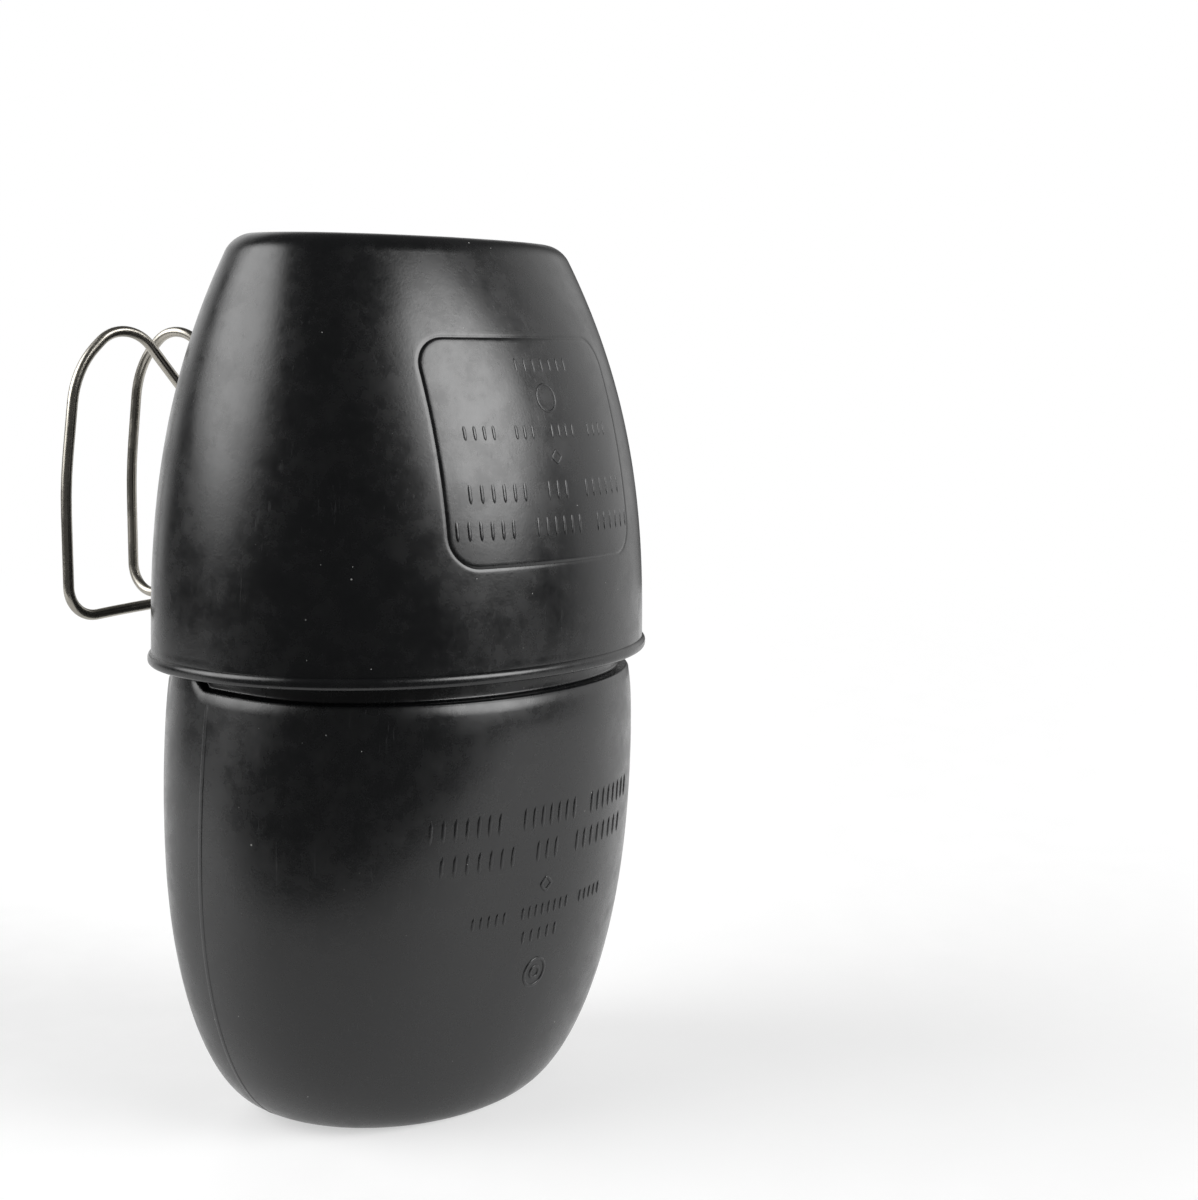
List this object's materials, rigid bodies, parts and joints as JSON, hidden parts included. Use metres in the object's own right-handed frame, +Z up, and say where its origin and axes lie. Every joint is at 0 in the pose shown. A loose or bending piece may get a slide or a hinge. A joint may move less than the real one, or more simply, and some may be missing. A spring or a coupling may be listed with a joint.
{
  "type": "canteen",
  "caption": "Oval moulded water bottle with a screw cap on a strap, its mug turned over the neck, and folding wire handles on a riveted bracket.",
  "frame": {"origin": "middle of the bottle's flat base, on the surface it stands on", "axes": "+Z up; -Y towards the marked front; +Y towards the handle bracket at the back; +X along the oval's long axis, to the right as the front is seen"},
  "size_m": [0.1292, 0.1468, 0.205],
  "materials": {
    "bottle_plastic": "satin moulded polythene with fine scuffs",
    "mug_plastic": "satin, slightly glossier than the bottle, with soft scuffs",
    "cap_plastic": "satin moulded",
    "strap_plastic": "dull flexible plastic",
    "seal_rubber": "dull",
    "bare_steel": "plain, slightly dulled",
    "handle_wire": "drawn wire with a soft shine"
  },
  "bodies": {
    "bottle": {"bottle_body": "bottle_plastic"},
    "strap": {"cap_strap": "strap_plastic", "strap_stud": "cap_plastic"},
    "cap": {"screw_cap": "cap_plastic", "cap_seal": "seal_rubber"},
    "mug": {"mug_body": "mug_plastic", "handle_bracket": "bare_steel", "bracket_rivet_1": "bare_steel", "bracket_rivet_2": "bare_steel", "bracket_rivet_3": "bare_steel", "rivet_washer_1": "bare_steel", "rivet_washer_2": "bare_steel", "rivet_washer_3": "bare_steel"},
    "left_handle": {"handle_left": "handle_wire"},
    "right_handle": {"handle_right": "handle_wire"}
  },
  "joints": [
    {"name": "mug_lift", "type": "slide", "parent": "bottle", "child": "mug", "axis": [0, 0, 1], "range_m": [0, 0.13]},
    {"name": "cap_rise", "type": "slide", "parent": "bottle", "child": "strap", "axis": [0, 0, 1], "range_m": [0, 0.008]},
    {"name": "cap_turn", "type": "hinge", "parent": "strap", "child": "cap", "pos_m": [0, -0.002, 0.18], "axis": [0, 0, 1], "range_deg": [0, 720]},
    {"name": "left_handle_swing", "type": "hinge", "parent": "mug", "child": "left_handle", "pos_m": [-0.007, 0.04742, 0.126], "axis": [0, 0, 1], "range_deg": [-45, 34]},
    {"name": "right_handle_swing", "type": "hinge", "parent": "mug", "child": "right_handle", "pos_m": [0.007, 0.04742, 0.126], "axis": [0, 0, 1], "range_deg": [-130, 8]}
  ],
  "couplings": [
    {"joint": "cap_rise", "follows": "cap_turn", "m_per_rad": 0.00063661}
  ]
}
